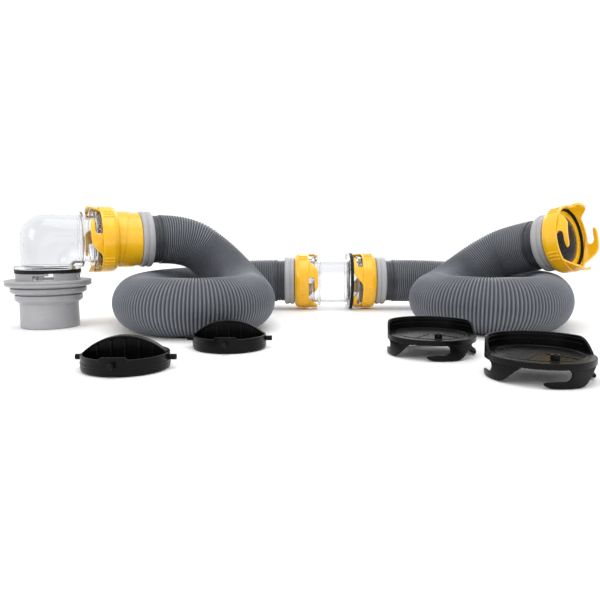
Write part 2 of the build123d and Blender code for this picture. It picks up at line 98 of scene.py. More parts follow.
# ---------------------------------------------------------------- shader graphs
@dataclass(frozen=True)
class Wire:
    """A node's output that takes part in arithmetic."""

    graph: "Graph"
    socket: bpy.types.NodeSocket | None

    def maths(self, operation: str, first: Any, second: Any = 0.0) -> "Wire":
        """Adds one Math node.

        Args:
            operation: the node's operation.
            first: its first value or wire.
            second: its second.

        Returns:
            The wire of the result.
        """
        return self.graph.node(
            "ShaderNodeMath", {"operation": operation}, {0: first, 1: second}
        )

    def __add__(self, other: Any) -> "Wire":
        """self + other."""
        return self.maths("ADD", self, other)

    def __radd__(self, other: Any) -> "Wire":
        """other + self."""
        return self.maths("ADD", other, self)

    def __sub__(self, other: Any) -> "Wire":
        """self - other."""
        return self.maths("SUBTRACT", self, other)

    def __rsub__(self, other: Any) -> "Wire":
        """other - self."""
        return self.maths("SUBTRACT", other, self)

    def __mul__(self, other: Any) -> "Wire":
        """self * other."""
        return self.maths("MULTIPLY", self, other)

    def __rmul__(self, other: Any) -> "Wire":
        """other * self."""
        return self.maths("MULTIPLY", other, self)


class Graph:
    """The node tree of one new material."""

    def __init__(self, name: str) -> None:
        """Starts a material of that name with an empty tree.

        Args:
            name: the material's name.
        """
        self.material = bpy.data.materials.new(name)
        self.material.use_nodes = True
        self.tree = self.material.node_tree
        self.tree.nodes.clear()

    def node(
        self,
        kind: str,
        settings: dict[str, Any] | None = None,
        sockets: dict[Any, Any] | None = None,
        output: Any = 0,
    ) -> Wire:
        """Adds one node of any kind.

        Args:
            kind: the node's type name.
            settings: its properties, set first; "stops" are a colour ramp's (place, grey) pairs.
            sockets: values or wires by socket name or number.
            output: name or number of the output that is returned.

        Returns:
            The wire of that output.
        """
        made = self.tree.nodes.new(kind)
        for key, value in (settings or {}).items():
            if key == "stops":
                ramp = made.color_ramp.elements
                for i, (place, grey) in enumerate(value):
                    stop = ramp[i] if i < len(ramp) else ramp.new(place)
                    stop.position = place
                    stop.color = (grey, grey, grey, 1.0)
            else:
                setattr(made, key, value)
        for key, value in (sockets or {}).items():
            target = made.inputs[key]
            if isinstance(value, Wire):
                self.tree.links.new(value.socket, target)
            elif isinstance(value, tuple) and len(value) == 3 and target.type == "RGBA":
                target.default_value = (*value, 1.0)
            else:
                target.default_value = value
        return Wire(self, made.outputs[output] if made.outputs else None)

    def place(self) -> Wire:
        """Object coordinates, in metres."""
        return self.node("ShaderNodeTexCoord", output="Object")

    def noise(self, scale: float, detail: float = 3.0, roughness: float = 0.55) -> Wire:
        """Noise from 0 to 1 on Object coordinates.

        Args:
            scale: cells per metre.
            detail: octaves.
            roughness: how much the finer octaves count.

        Returns:
            The wire of the noise.
        """
        return self.node(
            "ShaderNodeTexNoise",
            {"noise_dimensions": "3D"},
            {"Vector": self.place(), "Scale": scale, "Detail": detail, "Roughness": roughness},
        )

    def ramp(self, value: Wire, *stops: tuple[float, float]) -> Wire:
        """Grey ramp of a value by (place, grey) stops."""
        return self.node("ShaderNodeValToRGB", {"stops": stops}, {"Fac": value})

    def blend(self, share: Any, first: Any, second: Any) -> Wire:
        """Colour between two colours.

        Args:
            share: 0 for the first colour, 1 for the second.
            first: a colour or its wire.
            second: a colour or its wire.

        Returns:
            The wire of the colour.
        """
        return self.node(
            "ShaderNodeMix", {"data_type": "RGBA"}, {0: share, 6: first, 7: second}, output=2
        )

    def bump(self, height: Wire, distance: float, strength: float) -> Wire:
        """Normal of a rough surface.

        Args:
            height: the height, from 0 to 1.
            distance: what a height of 1 stands for, in metres.
            strength: how much of it shows.

        Returns:
            The wire of the normal.
        """
        return self.node(
            "ShaderNodeBump", None, {"Height": height, "Distance": distance, "Strength": strength}
        )

    def worn_edges(self, low: float = 0.515, high: float = 0.56) -> Wire:
        """Mask of the convex edges, broken up by a noise.

        Args:
            low: pointiness where the mask starts.
            high: pointiness where it is whole.

        Returns:
            The wire of the mask.
        """
        points = self.node("ShaderNodeNewGeometry", output="Pointiness")
        return self.ramp(points, (low, 0.0), (high, 1.0)) * self.ramp(
            self.noise(160.0), (0.35, 0.15), (0.7, 1.0)
        )

    def close(self, shader: Wire) -> bpy.types.Material:
        """Wires a shader to the output and returns the material."""
        self.node("ShaderNodeOutputMaterial", None, {"Surface": shader})
        return self.material


@dataclass(frozen=True)
class Moulded:
    """Moulded plastic or rubber: mottled colour, rubbed edges, soft flow marks and a fine grain.

    Attributes:
        name: the material's name.
        slot: the record's slot that it belongs to; not used.
        deep: colour where the mottling is darkest.
        bright: colour where it is lightest.
        rubbed: colour of worn edges.
        gloss: lowest and highest roughness.
        coat: coat weight.
        grain: cells per metre of the surface grain.
        relief: depth of the grain, in metres.
        shine: specular level, 0.5 for plain plastic.
    """

    name: str
    slot: Slot
    deep: Colour
    bright: Colour
    rubbed: Colour
    gloss: tuple[float, float]
    coat: float = 0.0
    grain: float = 900.0
    relief: float = 0.00012
    shine: float = 0.5

    def material(self) -> bpy.types.Material:
        """Builds the material."""
        g = Graph(self.name)
        clouds = g.ramp(g.noise(22.0, 4.0), (0.3, 0.0), (0.72, 1.0))
        fine = g.noise(self.grain, 2.0)
        speckle = g.ramp(g.noise(420.0, 2.0), (0.44, 0.0), (0.62, 1.0))
        tone = g.blend(clouds, self.deep, self.bright)
        tone = g.blend(speckle * 0.22, tone, self.deep)
        tone = g.blend(g.worn_edges() * 0.55, tone, self.rubbed)
        low, high = self.gloss
        rough = low + (clouds * 0.6 + speckle * 0.4) * (high - low)
        shader = g.node(
            "ShaderNodeBsdfPrincipled",
            None,
            {
                "Base Color": tone,
                "Roughness": rough,
                "Coat Weight": self.coat,
                "Coat Roughness": 0.12,
                "Specular IOR Level": self.shine,
                "Normal": g.bump(fine + g.noise(60.0) * 0.8, self.relief, 0.45),
            },
        )
        return g.close(shader)


@dataclass(frozen=True)
class HoseVinyl:
    """Satin vinyl over a spring wire: light ridges with scuffs and a painted highlight on their crests, and
    grooves darkened with painted shade.
    """

    name: str = "hose_vinyl"
    slot: Slot = Slot.HOSE
    # The grooves' colour is painted shade: far darker than the ridges' own vinyl, standing for the shade in
    # the grooves.
    groove: Colour = (0.009, 0.0105, 0.014)
    ridge: Colour = (0.1, 0.109, 0.132)
    # The crests' colour: scuffed wear, plus a painted highlight on the ridge tops.
    scuff_and_painted_highlight: Colour = (0.23, 0.242, 0.27)

    def material(self) -> bpy.types.Material:
        """Builds the material; the mesh attribute "ridge" is 1 on the ridges and 0 in the grooves."""
        g = Graph(self.name)
        height = g.node("ShaderNodeAttribute", {"attribute_name": "ridge"}, output="Fac")
        clouds = g.ramp(g.noise(14.0, 5.0), (0.28, 0.0), (0.75, 1.0))
        scuff = g.ramp(g.noise(120.0, 5.0, 0.7), (0.42, 0.0), (0.68, 1.0))
        # Grooves take the painted shade colour, ridges the vinyl's own colour.
        tone = g.blend(g.ramp(height, (0.08, 0.0), (0.75, 1.0)), self.groove, self.ridge)
        # On the crests, a painted highlight everywhere, and scuffed wear where the scuff noise is high.
        crest = g.ramp(height, (0.7, 0.0), (1.0, 1.0))
        tone = g.blend(crest * (0.35 + scuff * 0.45), tone, self.scuff_and_painted_highlight)
        tone = g.blend(clouds * 0.22, tone, self.groove)
        shader = g.node(
            "ShaderNodeBsdfPrincipled",
            None,
            {
                "Base Color": tone,
                "Roughness": 0.4 + scuff * 0.2 + clouds * 0.06,
                "Normal": g.bump(g.noise(1500.0, 2.0) + scuff * 0.6, 0.0001, 0.4),
            },
        )
        return g.close(shader)


@dataclass(frozen=True)
class ClearPlastic:
    """Clear moulded plastic, with faint flow lines and patchy haze; lamps shine through it."""

    name: str = "clear_plastic"
    slot: Slot = Slot.CLEAR
    tint: Colour = (0.9, 0.905, 0.92)
    refraction: float = 1.38

    def material(self) -> bpy.types.Material:
        """Builds the material."""
        g = Graph(self.name)
        haze = g.ramp(g.noise(30.0, 4.0), (0.4, 0.0), (0.8, 1.0))
        flow = g.node(
            "ShaderNodeTexNoise",
            {"noise_dimensions": "3D"},
            {"Vector": g.place(), "Scale": 26.0, "Detail": 2.0, "Distortion": 1.2},
        )
        glass = g.node(
            "ShaderNodeBsdfPrincipled",
            None,
            {
                "Base Color": self.tint,
                "Roughness": 0.02 + haze * 0.05,
                "IOR": self.refraction,
                "Transmission Weight": 1.0,
                "Normal": g.bump(flow, 0.0006, 0.12),
            },
        )
        open_to_lamps = g.node("ShaderNodeBsdfTransparent", None, {"Color": (0.93, 0.93, 0.94)})
        lamp = g.node("ShaderNodeLightPath", output="Is Shadow Ray")
        return g.close(g.node("ShaderNodeMixShader", None, {0: lamp, 1: glass, 2: open_to_lamps}))


CUFF_RUBBER = Moulded(
    "cuff_rubber", Slot.CUFF, (0.024, 0.026, 0.033), (0.055, 0.059, 0.07), (0.14, 0.145, 0.16), (0.36, 0.52),
    shine=0.4,
)
COLLAR_GREY = Moulded(
    "collar_grey", Slot.COLLAR, (0.33, 0.33, 0.345), (0.42, 0.42, 0.43), (0.56, 0.56, 0.57), (0.36, 0.5)
)
# Grey plastic darkened nearly to black: painted shade of the hose's bore that the spigot sits in.
SPIGOT_BORE_SHADE = Moulded(
    "spigot_painted_shade", Slot.SPIGOT, (0.05, 0.05, 0.055), (0.09, 0.09, 0.1), (0.2, 0.2, 0.2), (0.4, 0.55)
)
RING_YELLOW = Moulded(
    "ring_yellow", Slot.YELLOW, (0.86, 0.42, 0.003), (0.96, 0.55, 0.008), (1.0, 0.74, 0.1), (0.2, 0.34),
    coat=0.25, grain=700.0, relief=0.00008,
)
SEAL_RUBBER = Moulded(
    "seal_rubber", Slot.SEAL, (0.002, 0.002, 0.002), (0.006, 0.006, 0.006), (0.02, 0.02, 0.02), (0.45, 0.65),
    shine=0.15,
)
ADAPTER_GREY = Moulded(
    "adapter_grey", Slot.GREY, (0.29, 0.29, 0.305), (0.37, 0.37, 0.385), (0.5, 0.5, 0.51), (0.34, 0.5),
)
CAP_BLACK = Moulded(
    "cap_black", Slot.BLACK, (0.001, 0.001, 0.0011), (0.0024, 0.0024, 0.0026), (0.03, 0.03, 0.031),
    (0.24, 0.38), grain=1100.0, shine=0.12,
)


@dataclass
class Dresser:
    """Gives each finish one material, however many pieces wear it."""

    made: dict[str, bpy.types.Material] = field(default_factory=dict)

    def wear(self, piece: bpy.types.Object, finish: Any) -> None:
        """Puts a finish on every material slot of a piece, or on a new one.

        Args:
            piece: the object to dress.
            finish: a finish with a name and a material method.
        """
        if finish.name not in self.made:
            self.made[finish.name] = finish.material()
        if not piece.material_slots:
            piece.data.materials.append(self.made[finish.name])
        for place in piece.material_slots:
            place.material = self.made[finish.name]


# ---------------------------------------------------------------- places
class Spine(Protocol):
    """Anything that a profile can be carried along."""

    def at(self, along: np.ndarray) -> tuple[np.ndarray, np.ndarray, np.ndarray]:
        """Centre points and the two unit directions across the spine at those lengths."""


@dataclass(frozen=True)
class Axis:
    """Straight spine with its own frame: z runs along it, x is angle 0 and y = z cross x."""

    origin: np.ndarray
    x: np.ndarray
    z: np.ndarray

    @classmethod
    def upright(cls, x: float, y: float, height: float = 0.0) -> "Axis":
        """Axis that stands on the floor at (x, y), from a height up."""
        return cls(np.array((x, y, height)), np.array((1.0, 0.0, 0.0)), np.array((0.0, 0.0, 1.0)))

    @property
    def y(self) -> np.ndarray:
        """The frame's second direction."""
        return np.cross(self.z, self.x)

    def at(self, along: np.ndarray) -> tuple[np.ndarray, np.ndarray, np.ndarray]:
        """Centre = origin + along z; the directions across are x and y everywhere."""
        shape = np.ones_like(along)[..., None]
        return self.origin + along[..., None] * self.z, shape * self.x, shape * self.y

    def shifted(self, along: float) -> "Axis":
        """The same frame further along its z."""
        return Axis(self.origin + along * self.z, self.x, self.z)

    def round_place(self, degrees: np.ndarray, height: np.ndarray, radius: np.ndarray) -> np.ndarray:
        """Point = origin + radius (cos a x + sin a y) + height z."""
        a = np.radians(degrees)[..., None]
        across = np.cos(a) * self.x + np.sin(a) * self.y
        return self.origin + radius[..., None] * across + height[..., None] * self.z

    def spoke(self, degrees: float, height: float) -> "Axis":
        """Axis that leaves this one at a right angle, at that angle and height."""
        a = math.radians(degrees)
        out = math.cos(a) * self.x + math.sin(a) * self.y
        return Axis(self.origin + height * self.z, self.z, out)


@dataclass(frozen=True)
class Bend:
    """Spine that runs level, turns down through a quarter circle, and drops.

    Attributes:
        start: where it begins.
        out: its level direction.
        level: length before the turn.
        radius: radius of the turn.
    """

    start: np.ndarray
    out: np.ndarray
    level: float
    radius: float

    def at(self, along: np.ndarray) -> tuple[np.ndarray, np.ndarray, np.ndarray]:
        """With a = (along - level) / radius held in 0..90 degrees, the centre is
        start + out (min(along, level) + radius sin a) - Z (radius (1 - cos a) + what is left),
        and the directions across are out x Z and Z cos a + out sin a.

        Args:
            along: lengths from the start.

        Returns:
            The centres and the two directions across.
        """
        up = np.array((0.0, 0.0, 1.0))
        a = np.clip((along - self.level) / self.radius, 0.0, math.pi / 2)
        rest = np.maximum(along - self.level - self.radius * math.pi / 2, 0.0)
        level = np.minimum(along, self.level) + self.radius * np.sin(a)
        drop = self.radius * (1 - np.cos(a)) + rest
        centre = self.start + level[..., None] * self.out - drop[..., None] * up
        side = np.ones_like(a)[..., None] * np.cross(self.out, up)
        return centre, side, np.cos(a)[..., None] * up + np.sin(a)[..., None] * self.out


# ---------------------------------------------------------------- surfaces
def rounded(corners: np.ndarray, radius: Any, samples: int = 5) -> np.ndarray:
    """Closed outline with rounded corners.

    With P, C, N three corners in turn, A and B lie on the runs at the radius from C, but at most
    0.42 of the run. The corner is (1-t)^2 A + 2t(1-t) C + t^2 B for t from 0 to 1, with one more
    point beyond A and one beyond B, so that what lies between the corners is shaded flat.

    Args:
        corners: (..., corners, 2) points.
        radius: one radius, or one per corner.
        samples: points on each corner's curve.

    Returns:
        (..., corners * (samples + 2), 2) points.
    """
    reach = np.broadcast_to(np.asarray(radius, float), corners.shape[:-1])[..., None]
    t = np.linspace(0.0, 1.0, samples)[:, None]

    def toward(step: int, share: float, most: float) -> np.ndarray:
        """Point on the run to a neighbour."""
        run = np.roll(corners, step, -2) - corners
        length = np.maximum(np.linalg.norm(run, axis=-1, keepdims=True), 1e-9)
        return corners + run * np.minimum(share * reach / length, most)

    a, b, c = (q[..., None, :] for q in (toward(1, 1.0, 0.42), toward(-1, 1.0, 0.42), corners))
    curve = (1 - t) ** 2 * a + 2 * t * (1 - t) * c + t**2 * b
    ends = [toward(1, 1.3, 0.49)[..., None, :], toward(-1, 1.3, 0.49)[..., None, :]]
    rings = np.concatenate([ends[0], curve, ends[1]], axis=-2)
    return rings.reshape(*corners.shape[:-2], -1, 2)


def dense(outline: np.ndarray, step: float, closed: bool = True) -> np.ndarray:
    """Outline with points no further apart than a step, its own points kept.

    Args:
        outline: (n, 2) points.
        step: largest distance between points.
        closed: whether the last point joins the first.

    Returns:
        (m, 2) points.
    """
    line = np.vstack([outline, outline[:1]]) if closed else outline
    length = np.concatenate([[0.0], np.cumsum(np.linalg.norm(np.diff(line, axis=0), axis=1))])
    places = np.unique(np.concatenate([length, np.arange(0.0, length[-1], step)]))
    places = places[:-1] if closed else places
    return np.stack([np.interp(places, length, line[:, i]) for i in (0, 1)], axis=1)


def eased(keys: np.ndarray, count: int) -> np.ndarray:
    """Smooth line near its keys: four rounds of corner cutting at 1/4 and 3/4 of each run, with
    the ends kept, read at equal steps of the line's own numbering.

    Args:
        keys: (n, d) points.
        count: points wanted.

    Returns:
        (count, d) points.
    """
    line = keys.astype(float)
    for _ in range(4):
        cut = np.stack([0.75 * line[:-1] + 0.25 * line[1:], 0.25 * line[:-1] + 0.75 * line[1:]], 1)
        line = np.vstack([line[:1], cut.reshape(-1, line.shape[1]), line[-1:]])
    steps = np.linspace(0.0, len(line) - 1.0, count)
    return np.stack(
        [np.interp(steps, np.arange(len(line)), line[:, i]) for i in range(line.shape[1])], axis=1
    )


def turned(spine: Spine, outline: np.ndarray, around: int = 96) -> np.ndarray:
    """Outline of (along, radius) points carried round a spine.

    Point = centre(along) + radius (cos a across + sin a up), for a round the full circle.

    Args:
        spine: what it goes round.
        outline: (n, 2) points.
        around: points round the circle.

    Returns:
        (n, around, 3) grid.
    """
    centre, across, up = spine.at(outline[:, 0])
    a = np.linspace(0.0, 2 * math.pi, around, endpoint=False)[None, :, None]
    ring = np.cos(a) * across[:, None, :] + np.sin(a) * up[:, None, :]
    return centre[:, None, :] + outline[:, 1][:, None, None] * ring


def bar(
    axis: Axis,
    low: np.ndarray,
    high: np.ndarray,
    near: float,
    far: float,
    edge: float,
    wrap: Wrap = Wrap.ROUND,
) -> np.ndarray:
    """Bar with rounded edges between two lines on a sheet, from a near to a far depth.

    At each step, a rectangle as wide as the lines are apart and far - near deep is rounded, and
    its point at width w is put at low + (high - low) w / width.

    Args:
        axis: frame that the sheet lies in.
        low: (n, 2) points (along, height) of one line.
        high: (n, 2) points of the other.
        near: smallest depth.
        far: largest depth.
        edge: rounding of the four edges.
        wrap: how the sheet lies in the frame.

    Returns:
        (n, points round the section, 3) grid.
    """
    run = high - low
    unit = np.radians(far) if wrap is Wrap.ROUND else 1.0
    width = np.maximum(np.hypot(run[:, 0] * unit, run[:, 1]), 0.05)
    zero = np.zeros_like(width)
    box = np.stack(
        [
            np.stack([zero, zero + near], -1),
            np.stack([width, zero + near], -1),
            np.stack([width, zero + far], -1),
            np.stack([zero, zero + far], -1),
        ],
        axis=1,
    )
    section = rounded(box, edge, 4)
    share = section[..., 0] / width[:, None]
    along = low[:, :1] + run[:, :1] * share
    height = low[:, 1:] + run[:, 1:] * share
    if wrap is Wrap.ROUND:
        return axis.round_place(along, height, section[..., 1])
    spread = along[..., None] * axis.x + section[..., 1][..., None] * axis.y
    return axis.origin + spread + height[..., None] * axis.z


@dataclass
class Shell:
    """Grids of points that become the faces of one mesh.

    Attributes:
        points: blocks of vertices.
        quads: blocks of four-sided faces.
        triangles: blocks of three-sided faces.
        marks: one value per vertex, for the mesh attribute "ridge".
    """

    points: list[np.ndarray] = field(default_factory=list)
    quads: list[np.ndarray] = field(default_factory=list)
    triangles: list[np.ndarray] = field(default_factory=list)
    marks: list[np.ndarray] = field(default_factory=list)

    def add(self, grid: np.ndarray, loop: bool = True, lids: bool = False, marks: Any = 0.0) -> "Shell":
        """Adds a grid whose rows are closed rings.

        Vertex i, j is number i m + j; its face joins (i, j), (i, j+1), (i+1, j+1), (i+1, j).

        Args:
            grid: (n, m, 3) points.
            loop: whether the last row joins the first.
            lids: whether a fan closes the first and the last row.
            marks: (n, m) values, or one for all.

        Returns:
            This shell.
        """
        n, m, _ = grid.shape
        base = sum(len(p) for p in self.points)
        index = np.arange(n * m).reshape(n, m) + base
        following = np.roll(index, -1, 0) if loop else index[1:]
        here = index if loop else index[:-1]
        faces = [here, np.roll(here, -1, 1), np.roll(following, -1, 1), following]
        self.quads.append(np.stack(faces, -1).reshape(-1, 4))
        self.points.append(grid.reshape(-1, 3))
        self.marks.append(np.broadcast_to(marks, (n, m)).reshape(-1))
        if lids:
            middles = np.stack([grid[0].mean(0), grid[-1].mean(0)])
            hub = base + n * m
            first, last = index[0], index[-1]
            self.triangles.append(
                np.concatenate(
                    [
                        np.stack([np.full(m, hub), np.roll(first, -1), first], -1),
                        np.stack([np.full(m, hub + 1), last, np.roll(last, -1)], -1),
                    ]
                )
            )
            self.points.append(middles)
            self.marks.append(np.zeros(2))
        return self

    def mesh(self, name: str, merge: bool) -> bpy.types.Mesh:
        """Mesh in metres, smooth, its faces outwards.

        Args:
            name: the mesh's name.
            merge: whether points that coincide, as at a pole, become one.

        Returns:
            The mesh.
        """
        points = np.concatenate(self.points) * MM
        quads = np.concatenate(self.quads)
        triangles = np.concatenate(self.triangles) if self.triangles else np.zeros((0, 3), int)
        loops = np.concatenate([quads.reshape(-1), triangles.reshape(-1)])
        sizes = np.concatenate([np.full(len(quads), 4), np.full(len(triangles), 3)])
        made = bpy.data.meshes.new(name)
        made.vertices.add(len(points))
        made.vertices.foreach_set("co", points.reshape(-1).astype(np.float32))
        made.loops.add(len(loops))
        made.loops.foreach_set("vertex_index", loops.astype(np.int32))
        made.polygons.add(len(sizes))
        starts = np.concatenate([[0], np.cumsum(sizes)[:-1]])
        made.polygons.foreach_set("loop_start", starts.astype(np.int32))
        made.update(calc_edges=True)
        ridge = made.attributes.new("ridge", "FLOAT", "POINT")
        ridge.data.foreach_set("value", np.concatenate(self.marks).astype(np.float32))
        work = bmesh.new()
        work.from_mesh(made)
        if merge:
            bmesh.ops.remove_doubles(work, verts=work.verts, dist=1e-7)
        bmesh.ops.recalc_face_normals(work, faces=work.faces)
        work.to_mesh(made)
        work.free()
        made.shade_smooth()
        made.validate()
        return made


@dataclass
class Workshop:
    dresser: Dresser = field(default_factory=Dresser)

    def piece(
        self, name: str, shell: Shell, finish: Any, body: str, *nodes: str, merge: bool = True
    ) -> bpy.types.Object:
        """Makes one piece, and lets it ride on its body.

        Args:
            name: the piece's name.
            shell: its surfaces.
            finish: what it wears.
            body: the CAD body that it rides on.
            nodes: the CAD nodes that it stands for.
            merge: whether coinciding points are merged.

        Returns:
            The new object.
        """
        made = bpy.data.objects.new(name, shell.mesh(name, merge))
        bpy.context.scene.collection.objects.link(made)
        self.dresser.wear(made, finish)
        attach(made, body)
        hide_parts(*nodes)
        log.info("%s: %d faces, rides on %s", name, len(made.data.polygons), body)
        return made

    def dress(self, finish: Any, *nodes: str) -> None:
        """Puts a finish on CAD nodes whose shape is right."""
        for name in nodes:
            self.dresser.wear(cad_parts[name], finish)
            log.info("%s: CAD node, wears %s", name, finish.name)


# ---------------------------------------------------------------- hoses
LEFT_ROUTE = (
    (-0.2511, 0.1346, 0.139),
    (-0.2092, 0.156, 0.139),
    (-0.162, 0.165, 0.103),
    (-0.118, 0.13, 0.062),
    (-0.096, 0.076, 0.044),
    (-0.088, -0.002, 0.0426),
    (-0.134, -0.058, 0.0426),
    (-0.204, -0.062, 0.0426),
    (-0.255, -0.012, 0.0426),
    (-0.27, 0.092, 0.0426),
    (-0.26, 0.192, 0.0426),
    (-0.213, 0.243, 0.044),
    (-0.15, 0.277, 0.051),
    (-0.105, 0.292, 0.056),
    (-0.06, 0.292, 0.056),
)
RIGHT_ROUTE = (
    (0.18, 0.292, 0.056),
    (0.246, 0.292, 0.056),
    (0.33, 0.286, 0.049),
    (0.396, 0.228, 0.043),
    (0.415, 0.128, 0.0426),
    (0.378, 0.028, 0.0426),
    (0.342, -0.032, 0.0426),
    (0.281, -0.052, 0.0426),
    (0.223, -0.023, 0.0426),
    (0.201, 0.038, 0.043),
    (0.23, 0.115, 0.044),
    (0.275, 0.154, 0.066),
    (0.326, 0.153, 0.104),
    (0.359, 0.1364, 0.1204),
    (0.3845, 0.106, 0.128),
)


@dataclass(frozen=True)
class Line:
    """Spine along a smooth line of points, with its directions across kept level and upright."""

    points: np.ndarray

    @classmethod
    def through(cls, name: str, route: tuple[tuple[float, float, float], ...]) -> "Line":
        """Line of a hose's route: an open NURBS spline of order 3 with the route as its control
        points, read as the points of its own mesh.

        Args:
            name: the hose's name.
            route: control points, in metres.

        Returns:
            The line, in millimetres.
        """
        curve = bpy.data.curves.new(name + "_line", "CURVE")
        curve.dimensions = "3D"
        spline = curve.splines.new("NURBS")
        spline.points.add(len(route) - 1)
        for point, place in zip(spline.points, route):
            point.co = (*place, 1.0)
        spline.order_u = 3
        spline.use_endpoint_u = True
        spline.resolution_u = 24
        holder = bpy.data.objects.new(name + "_line", curve)
        made = bpy.data.meshes.new_from_object(holder)
        flat = np.zeros(len(made.vertices) * 3)
        made.vertices.foreach_get("co", flat)
        bpy.data.meshes.remove(made)
        bpy.data.objects.remove(holder)
        bpy.data.curves.remove(curve)
        return cls(flat.reshape(-1, 3) / MM)

    @property
    def lengths(self) -> np.ndarray:
        """Length up to each point."""
        steps = np.linalg.norm(np.diff(self.points, axis=0), axis=1)
        return np.concatenate([[0.0], np.cumsum(steps)])

    def at(self, along: np.ndarray) -> tuple[np.ndarray, np.ndarray, np.ndarray]:
        """Centre = the line at that length. With T its direction, the directions across are
        T x Z, made one long, and that x T.

        Args:
            along: lengths from the start.

        Returns:
            The centres and the two directions across.
        """
        lengths = self.lengths
        direction = np.gradient(self.points, lengths, axis=0)
        centre = np.stack([np.interp(along, lengths, self.points[:, i]) for i in range(3)], -1)
        t = np.stack([np.interp(along, lengths, direction[:, i]) for i in range(3)], -1)
        t /= np.linalg.norm(t, axis=-1, keepdims=True)
        side = np.cross(t, (0.0, 0.0, 1.0))
        side /= np.linalg.norm(side, axis=-1, keepdims=True)
        return centre, side, np.cross(side, t)


@dataclass
class CorrugatedHose:
    """Waste hose with ridges wound round it as a screw thread.

    Attributes:
        name: the piece's name.
        node: the CAD node that it stands for.
        route: control points of its line, in metres.
        real_length: the hose's length, in metres; not used.
        ends: names of its two ends, the one that it leaves first; not used.
        radius: radius over the ridges.
        pitch: length from ridge to ridge.
        depth: depth of the grooves.
        wall: thickness under a groove.
        rings_per_turn: rings of points per ridge.
        around: points round the hose.
    """

    name: str
    node: str
    route: tuple[tuple[float, float, float], ...]
    real_length: float
    ends: tuple[str, str]
    radius: float = 42.5
    pitch: float = 3.8
    depth: float = 1.9
    wall: float = 0.9
    rings_per_turn: int = 6
    around: int = 56

    def skin(self, line: Line) -> Shell:
        """Closed skin of the hose.

        With s the length along and a the angle round, the ridge is
        k = (0.5 + 0.5 cos(2 pi s / pitch - a))^0.7 and the outer radius is R - depth (1 - k). The
        inner wall is a plain tube, and two flat rings close the ends.

        Args:
            line: the hose's line.

        Returns:
            The skin.
        """
        length = line.lengths[-1]
        s = np.linspace(0.0, length, int(length / self.pitch * self.rings_per_turn))
        a = np.linspace(0.0, 2 * math.pi, self.around, endpoint=False)
        ridge = (0.5 + 0.5 * np.cos(2 * math.pi * s[:, None] / self.pitch - a[None, :])) ** 0.7
        sag = 0.35 * np.sin(s[:, None] / 61.0) * np.sin(2 * a[None, :]) - 0.35
        outer = self.radius - self.depth * (1 - ridge) + sag
        back = np.linspace(length, 0.0, int(length / 6.0))
        bore = np.full((len(back), self.around), self.radius - self.depth - self.wall)
        along = np.concatenate([s, back])
        radius = np.concatenate([outer, bore])
        marks = np.concatenate([ridge, np.zeros_like(bore)])
        centre, side, up = line.at(along)
        ring = np.cos(a)[None, :, None] * side[:, None] + np.sin(a)[None, :, None] * up[:, None]
        return Shell().add(centre[:, None] + radius[..., None] * ring, marks=marks)

    def build(self, shop: Workshop) -> None:
        line = Line.through(self.name, self.route)
        made = shop.piece(self.name, self.skin(line), HoseVinyl(), "hose_set", self.node, merge=False)
        2 * self.radius * MM
        log.info("%s: line %.0f mm long", self.name, line.lengths[-1])


# ---------------------------------------------------------------- hose ends
def end_axis(route: tuple[tuple[float, float, float], ...], first: bool, phase: float) -> Axis:
    """Frame of a hose's end: z leaves the hose, x is level and then turned by the phase.

    Args:
        route: the hose's route, in metres.
        first: whether it is the route's first end.
        phase: turn about z, in degrees.

    Returns:
        The frame, in millimetres.
    """
    end, inner = (route[0], route[1]) if first else (route[-1], route[-2])
    out = np.subtract(end, inner)
    out /= np.linalg.norm(out)
    level = np.cross(out, (0.0, 0.0, 1.0))
    level /= np.linalg.norm(level)
    turn = math.radians(phase)
    x = level * math.cos(turn) + np.cross(out, level) * math.sin(turn)
    return Axis(np.array(end) / MM, x, out)


@dataclass(frozen=True)
class Claw:
    """One bayonet hook above the wall that it grows from, as two lines (angle, height) from its
    root to its tip. The finger points the way angles grow."""

    back: tuple[tuple[float, float], ...] = (
        (-54.0, -2.0), (-50.5, 0.6), (-44.0, 4.6), (-36.0, 11.5), (-28.0, 17.0), (-20.0, 17.9),
        (-6.0, 17.9), (6.0, 17.9), (13.5, 17.3), (17.2, 15.4), (18.0, 13.6),
    )
    throat: tuple[tuple[float, float], ...] = (
        (-1.0, -2.0), (-4.4, -0.4), (-9.0, 0.9), (-11.4, 3.4), (-11.4, 6.2), (-9.5, 9.6),
        (-4.4, 11.5), (3.5, 11.2), (10.5, 11.7), (15.5, 12.4), (17.7, 13.3),
    )

    def grids(self, axis: Axis, near: float, far: float) -> list[np.ndarray]:
        """Grids of four hooks with rounded edges, a quarter turn apart.

        Args:
            axis: frame with the wall's end at height 0.
            near: inner radius.
            far: outer radius.

        Returns:
            One grid per hook.
        """
        low, high = eased(np.array(self.throat), 44), eased(np.array(self.back), 44)
        steps = [np.array((quarter, 0.0)) for quarter in QUARTERS]
        return [bar(axis, low + step, high + step, near, far, 0.95) for step in steps]


